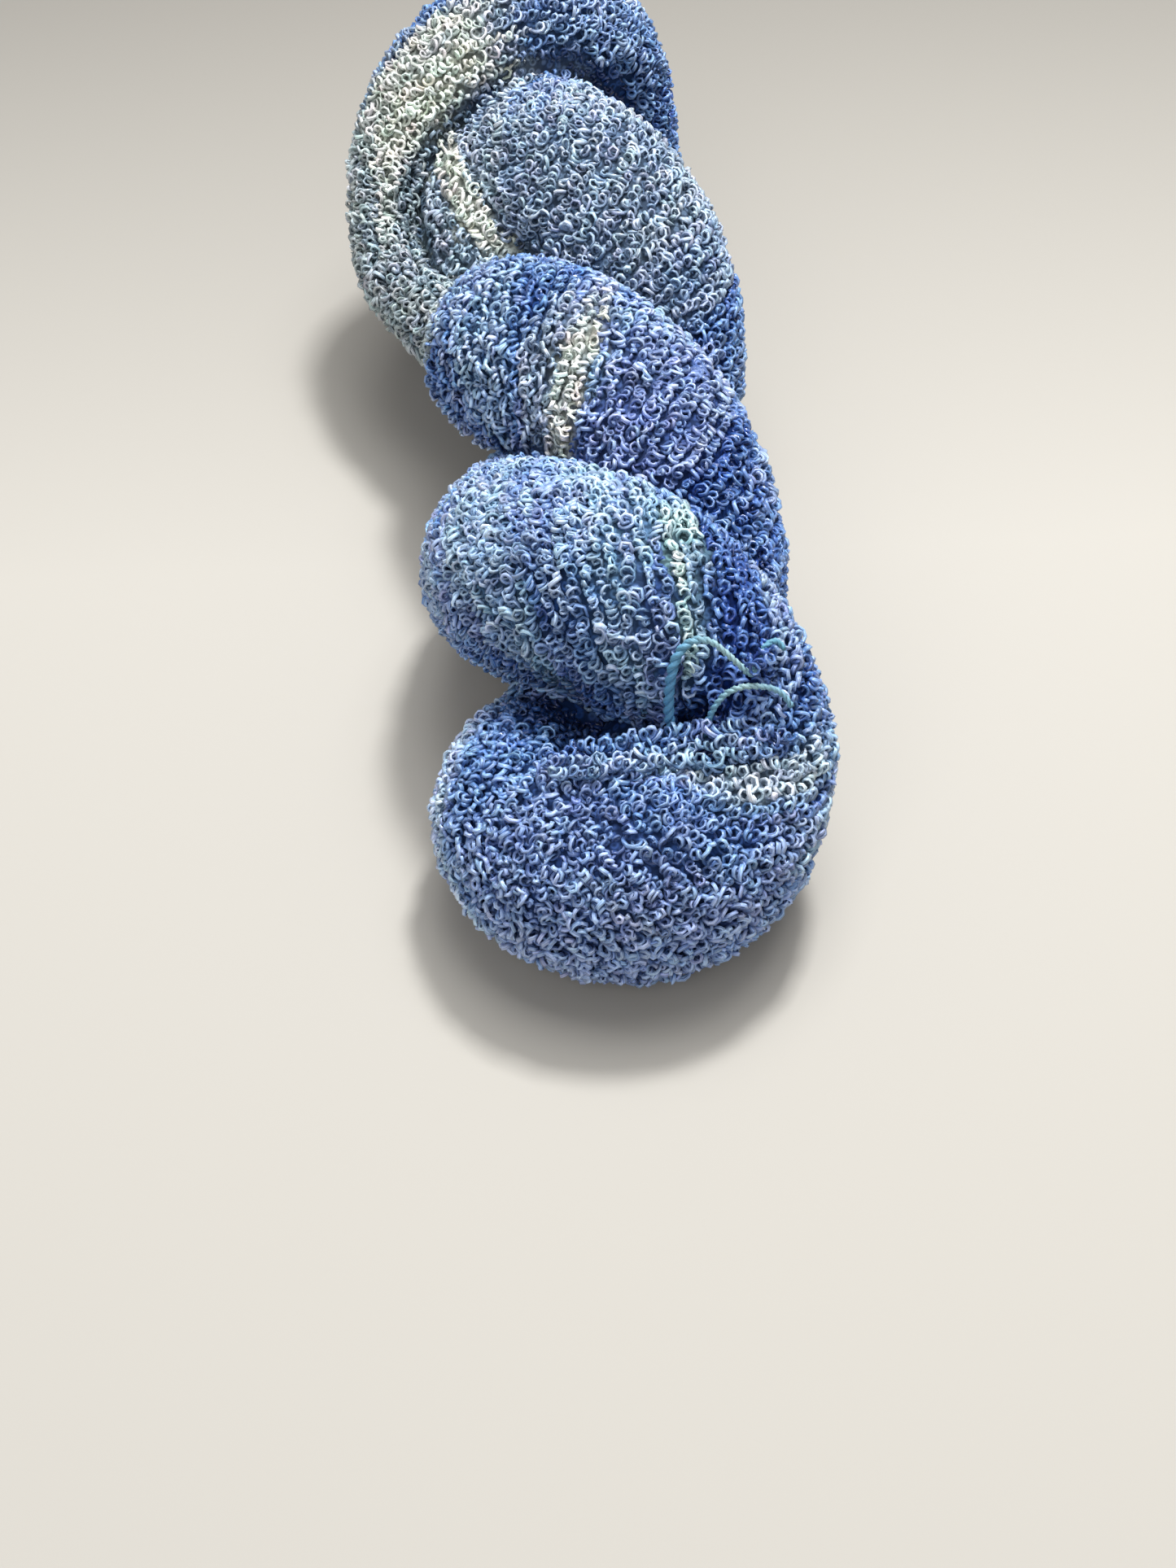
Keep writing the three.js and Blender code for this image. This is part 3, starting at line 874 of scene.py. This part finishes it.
def yarn_mesh(name, chosen, seed):
    """One mesh of the curls of the chosen runs."""
    rng = np.random.default_rng(seed)
    tubes, fibre, dyes = [], [], []
    for run in chosen:
        (corners, quads, caps), at, dye = curls(run, rng)
        corners[:, 2] = np.maximum(corners[:, 2], ABOVE_FLOOR)
        tubes.append((corners * MM, quads, caps))
        fibre.append(fibre_places(at, SIDES, rng.uniform(0, STREAK_SHIFT)))
        # the colours of the curls carry their painted shade into the "dye" attribute
        dyes.append(point_colours(dye, SIDES))
    return thread_mesh(name, tubes, fibre, dyes)


def in_shares(chosen):
    """Runs in shares that each make a mesh of less than the largest number of triangles."""
    shares, filled = [[]], 0
    for run in chosen:
        need = (walked_along(run["points"])[-1] / PITCH) * LOOP_STEPS * 2 * SIDES
        if filled + need > LARGEST:
            shares.append([])
            filled = 0
        shares[-1].append(run)
        filled += need
    return shares


print("a mesh of strands stays under", LARGEST, "triangles")

# %% Yarn of every line
FIRST_SEED = 100
yarn = []
for name in LINES:
    for number, share in enumerate(in_shares([run for run in runs if run["line"] == name])):
        yarn.append(yarn_mesh(f"yarn_{name}_{number + 1}", share, FIRST_SEED + len(yarn)))
print("yarn in all", sum(triangles_of(o) for o in yarn), "triangles")

# %% [markdown]
# ## The body under the curls
# Between the outer curls one sees deeper layers of yarn. More curls there would cost as much as those on
# top and hardly show. So a copy of the skein, drawn in a little, lies under them, coloured with the dye
# above each point darkened as painted shade, and its material draws rough loops.

# %% Body
BODY_INSET = 1.5
inner = merged_copy(skein_node)
inner.normal_update()
for v in inner.verts:
    v.co -= v.normal * BODY_INSET * MM
for face in inner.faces:
    face.smooth = True
body = bpy.data.objects.new("skein_body", bpy.data.meshes.new("skein_body"))
inner.to_mesh(body.data)
inner.free()
bpy.context.scene.collection.objects.link(body)
print("body of", len(body.data.polygons), "faces,", BODY_INSET, "mm inside the skein")

# %% Painted shade on the dye of the body
# painted shade: the body takes the dye of the nearest strand, made stronger in colour by a power and darker
# by a share
BODY_LIGHT = 0.6
BODY_SHADE_POWER = 2.3
tree = point_tree(laid_points * MM)
body_shaded_dye = BODY_LIGHT * np.array([all_dyes[tree.find(v.co)[1]] for v in body.data.vertices]) ** BODY_SHADE_POWER
add_attribute(body, "dye", "FLOAT_COLOR", point_colours(body_shaded_dye, 1))
print("mean dye of the body", body_shaded_dye.mean(axis=0).round(3))

# %% [markdown]
# ## The tie
# A teal thread ties the skein before it is dyed and twisted, so that its strands stay in order. It is a
# two-ply cord: two softer threads wound round each other. Its ends come up out of the crease in the
# head. One lies over the ply in an arch, dips under the curls and comes up once more, and the other
# bends over to the right. Where it comes out of the crease it is slack and thicker.

# %% Route of the tie
# x, y, z in millimetres, from the hump over the arch into the crease, and up again to the other end
TIE_ROUTE = np.array([
    (28.0, -91.6, 45.6), (26.8, -91.3, 46.9), (25.3, -92.4, 47.4), (23.9, -94.2, 46.2), (22.8, -95.8, 45.0),
    (21.0, -95.5, 46.6), (18.7, -94.7, 48.8), (16.8, -94.0, 50.1), (15.0, -93.7, 50.3), (13.2, -94.1, 49.6),
    (11.8, -95.0, 47.8), (11.1, -96.1, 45.2), (10.8, -97.0, 42.0), (10.9, -97.6, 38.6), (11.4, -98.0, 35.2),
    (12.3, -98.2, 32.7), (13.8, -98.2, 31.8), (15.3, -98.3, 32.8), (16.0, -98.6, 35.4), (16.4, -98.8, 38.3),
    (17.3, -98.5, 41.2), (19.0, -97.8, 43.2), (21.2, -97.6, 44.2), (23.6, -97.3, 43.9), (25.8, -97.1, 43.1),
    (27.5, -97.2, 41.7), (28.7, -97.8, 39.9),
]) * MM
TIE_POINTS = 161
key = walked_along(TIE_ROUTE)
route = smooth_table(np.column_stack([key, TIE_ROUTE]), np.linspace(0, key[-1], TIE_POINTS))
tie_length = float(walked_along(route)[-1])
print("tie length", round(tie_length / MM, 1), "mm")

# %% Thickness and tones of the tie
# millimetres: the slack stretch to either side of the turn, over how much it fades, and the radii
SLACK_REACH, SLACK_FADE = 17, 8
TIE_THIN, TIE_SLACK = 0.52, 0.3
from_turn = np.abs(np.linspace(0, tie_length, len(route)) - tie_length / 2) / MM
slack = np.clip((SLACK_REACH - from_turn) / SLACK_FADE, 0, 1)
tie_radius = (TIE_THIN + TIE_SLACK * slack) * MM
TIE_TONES = [
    # millimetres along the tie, then its colour there as a screen shows it
    (0, 104, 168, 194), (6, 96, 160, 188), (12, 152, 190, 198), (16, 148, 188, 198), (21, 98, 160, 194),
    (26, 72, 138, 184), (43, 72, 138, 184), (50, 88, 152, 190), (54, 130, 178, 196), (57, 156, 192, 198),
    (61, 130, 176, 196), (68, 108, 162, 190),
]
along_tie = np.linspace(0, tie_length, len(route)) / MM
tone_at = [at for at, *_ in TIE_TONES]
tie_tones = np.array([from_screen(*tone) for _, *tone in TIE_TONES])
tie_tone = np.stack([np.interp(along_tie, tone_at, tie_tones[:, k]) for k in range(3)], axis=1)
print("tie", round(2 * tie_radius.min() / MM, 2), "to", round(2 * tie_radius.max() / MM, 2), "mm thick")

# %% Two plies
# the length of a turn in radii of the cord, and how far out and how thick each ply is, in the same radii
TIE_PITCH = 4.2
PLY_OUT = 0.42
PLY_THICK = 0.66
TIE_SIDES = 8


def two_ply(name, route, radius, tone, pitch, sides):
    """Two tubes wound round a route. pitch is the length of a turn in radii of the cord."""
    first, second = steady_frame(route)
    walked = walked_along(route)
    twisted = 2 * np.pi * np.cumsum(np.gradient(walked) / (pitch * radius))
    tubes, fibre = [], []
    for half in (0, math.pi):
        angle = twisted + half
        aside = np.cos(angle)[:, None] * first + np.sin(angle)[:, None] * second
        tubes.append(tube(route + aside * radius[:, None] * PLY_OUT, aside, radius * PLY_THICK, sides))
        fibre.append(fibre_places(walked / MM, sides, half))
    return thread_mesh(name, tubes, fibre, [point_colours(tone, sides)] * 2)


tie = two_ply("tie_thread", route, tie_radius, tie_tone, TIE_PITCH, TIE_SIDES)
print("a turn of its plies is", TIE_PITCH, "radii long")

# %% [markdown]
# ## Materials
# The yarn is a smooth, shiny thread of many fine filaments. Noise read at the "fibre" places, long one
# way and short the other, makes streaks that follow every curl, in the colour and in the bump. On the
# yarn the light streaks in the colour are partly paler filaments and partly painted highlights. Low
# roughness gives the bright glints on the curls. The tie is built the same way but is duller, as cotton.

# %% Helpers for node materials
def new_material(name, sockets):
    """A material and its shader, with these values on the shader's own sockets."""
    material = bpy.data.materials.new(name)
    material.use_nodes = True
    shader = material.node_tree.nodes["Principled BSDF"]
    for socket, value in sockets.items():
        shader.inputs[socket].default_value = value
    return material, shader


def add_node(material, kind, sockets=None, **settings):
    """A node with its settings and the values of its sockets."""
    node = material.node_tree.nodes.new("ShaderNode" + kind)
    for name, value in settings.items():
        setattr(node, name, value)
    for socket, value in (sockets or {}).items():
        node.inputs[socket].default_value = value
    return node


def join(source, target):
    source.id_data.links.new(source, target)


def dye_and_bump(material, shader, factor, height, bump):
    """The mesh's "dye" colour, with any painted shade in it, times a factor as the shader's colour, and a
    bump of this height, with its sockets.
    """
    dye = add_node(material, "Attribute", attribute_name="dye")
    mix = add_node(material, "VectorMath", operation="SCALE")
    join(dye.outputs["Color"], mix.inputs[0])
    join(factor, mix.inputs["Scale"])
    join(mix.outputs["Vector"], shader.inputs["Base Color"])
    join(height, bump.inputs["Height"])
    join(bump.outputs["Normal"], shader.inputs["Normal"])


print("materials so far", len(bpy.data.materials))

# %% Yarn material
YARN_BLUE = (0.13, 0.22, 0.45, 1)


def yarn_material(name, roughness, scale, streak_tone_and_highlight):
    """scale stretches the streaks round and along the thread. The last argument is their darkest and
    lightest factor on the colour: tone of the filaments, and on the yarn painted highlights too.
    """
    material, shader = new_material(name, {"Base Color": YARN_BLUE, "Roughness": roughness,
                                           "Specular IOR Level": 0.8, "Sheen Weight": 0.05,
                                           "Sheen Roughness": 0.4})
    fibre = add_node(material, "Attribute", attribute_name="fibre")
    scaled = add_node(material, "VectorMath", {1: scale}, operation="MULTIPLY")
    join(fibre.outputs["Vector"], scaled.inputs[0])
    streak = add_node(material, "TexNoise", {"Scale": 1.0, "Detail": 3.0})
    join(scaled.outputs["Vector"], streak.inputs["Vector"])
    ramp = add_node(material, "MapRange", {"From Min": 0.3, "From Max": 0.7,
                                                     "To Min": streak_tone_and_highlight[0], "To Max": streak_tone_and_highlight[1]})
    join(streak.outputs["Fac"], ramp.inputs["Value"])
    bump = add_node(material, "Bump", {"Strength": 0.5, "Distance": 0.15 * MM})
    dye_and_bump(material, shader, ramp.outputs["Result"], streak.outputs["Fac"], bump)
    return material


# on the boucle the light streaks are partly painted highlights along the filaments
boucle = yarn_material("boucle", roughness=0.28, scale=(3.0, 3.0, 1.0), streak_tone_and_highlight=(0.45, 1.65))
for o in yarn:
    o.data.materials.append(boucle)
cotton = yarn_material("teal_thread", roughness=0.6, scale=(3.0, 3.0, 0.8), streak_tone_and_highlight=(0.75, 1.2))
tie.data.materials.append(cotton)
print(boucle.name, "has", len(boucle.node_tree.nodes), "nodes and is on", len(yarn), "meshes")

# %% [markdown]
# The body's material draws rings round scattered points, as loops of yarn seen deep down. The rings come
# from the distance to the nearest point of a Voronoi texture: where it is close to one value, the dye is
# lighter and the bump stands up.

# %% Body material
DEEP_BLUE = (0.02, 0.045, 0.14, 1)
LOOPS_A_METRE = 700
RING = 0.36


def body_material():
    """Rings in the dye of the body, for the loops of the deeper yarn."""
    material, shader = new_material("deep_blue", {"Base Color": DEEP_BLUE, "Roughness": 0.9,
                                                  "Specular IOR Level": 0.1})
    where_from = add_node(material, "TexCoord")
    cells = add_node(material, "TexVoronoi", {"Scale": LOOPS_A_METRE})
    join(where_from.outputs["Object"], cells.inputs["Vector"])
    from_ring = add_node(material, "Math", {1: RING}, operation="SUBTRACT")
    join(cells.outputs["Distance"], from_ring.inputs[0])
    off_ring = add_node(material, "Math", operation="ABSOLUTE")
    join(from_ring.outputs["Value"], off_ring.inputs[0])
    ramp = add_node(material, "MapRange", {"From Min": 0.04, "From Max": 0.22,
                                                     "To Min": 1.1, "To Max": 0.4})
    join(off_ring.outputs["Value"], ramp.inputs["Value"])
    bump = add_node(material, "Bump", {"Strength": 0.8, "Distance": 0.6 * MM}, invert=True)
    dye_and_bump(material, shader, ramp.outputs["Result"], off_ring.outputs["Value"], bump)
    return material


body.data.materials.append(body_material())
print(body.name, "has the material", body.data.materials[0].name)

# %% [markdown]
# ## What the pieces ride on
# Nothing moves on a hank, so every piece rides on the one body of the model. The body copy stands for
# the wound skein, and the thread for the tie's plain tube, which are then hidden.

# %% Ride
for o in yarn + [body, tie]:
    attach(o, "root")
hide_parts("hank")
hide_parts("tie")
print(len(yarn) + 2, "pieces ride on the body")

# %% [markdown]
# ## Floor and light
# The hank lies on a plain pale floor with painted shade that makes it a little darker behind it, where
# the light falls off. Light comes softly from above. A smaller lamp beside it puts the glints on the
# curls, and a weak one in front keeps the crease from going black.

# %% Floor
FLOOR_SIZE = 6
FLOOR_DROP = 0.2 * MM
FLOOR_NEAR = (0.50, 0.48, 0.44, 1)
# the far colour is the near one darkened as painted shade
FLOOR_FAR_SHADE = (0.212, 0.202, 0.184, 1)
# the y between which the painted shade darkens it from near to far, in metres
FLOOR_FALLOFF = (-0.02, 0.25)


def floor_material():
    """Matt paper, with painted shade from pale to a little darker behind the hank."""
    material, shader = new_material("pale_floor", {"Base Color": FLOOR_NEAR, "Roughness": 0.9,
                                                   "Specular IOR Level": 0.1})
    where_from = add_node(material, "TexCoord")
    split = add_node(material, "SeparateXYZ")
    join(where_from.outputs["Object"], split.inputs["Vector"])
    painted_falloff = add_node(material, "MapRange", {"From Min": FLOOR_FALLOFF[0], "From Max": FLOOR_FALLOFF[1]})
    join(split.outputs["Y"], painted_falloff.inputs["Value"])
    mix = add_node(material, "Mix", {"A": FLOOR_NEAR, "B": FLOOR_FAR_SHADE}, data_type="RGBA")
    join(painted_falloff.outputs["Result"], mix.inputs["Factor"])
    join(mix.outputs["Result"], shader.inputs["Base Color"])
    return material


bpy.ops.mesh.primitive_plane_add(size=FLOOR_SIZE, location=(0, 0, -FLOOR_DROP))
floor = bpy.context.object
floor.name = "floor"
floor.data.materials.append(floor_material())
print("floor", FLOOR_SIZE, "m wide")

# %% Lights
LIGHTS = [
    # name, place, what it is aimed at, size in metres, watts
    ("top_light", (0.1, 0.15, 1.2), (0, -0.02, 0), 0.8, 9),
    ("spark_light", (0.15, 0.2, 0.75), (0, -0.06, 0.03), 0.12, 5.5),
    ("front_light", (-0.4, -1.0, 0.9), (0, -0.05, 0.02), 0.8, 4),
]
ROOM_COLOUR = (1.0, 0.98, 0.95, 1)
ROOM_STRENGTH = 0.3


def area_light(name, place, target, size, watts):
    """A square soft light at a place, turned to its target."""
    lamp = bpy.data.lights.new(name, "AREA")
    lamp.size = size
    lamp.energy = watts
    light = bpy.data.objects.new(name, lamp)
    light.location = place
    light.rotation_euler = (Vector(target) - Vector(place)).to_track_quat("-Z", "Y").to_euler()
    bpy.context.scene.collection.objects.link(light)


for row in LIGHTS:
    area_light(*row)
room = bpy.data.worlds.new("room")
room.use_nodes = True
room.node_tree.nodes["Background"].inputs["Color"].default_value = ROOM_COLOUR
room.node_tree.nodes["Background"].inputs["Strength"].default_value = ROOM_STRENGTH
bpy.context.scene.world = room
bpy.context.scene.view_settings.view_transform = "Standard"
print("lights", [name for name, *_ in LIGHTS])
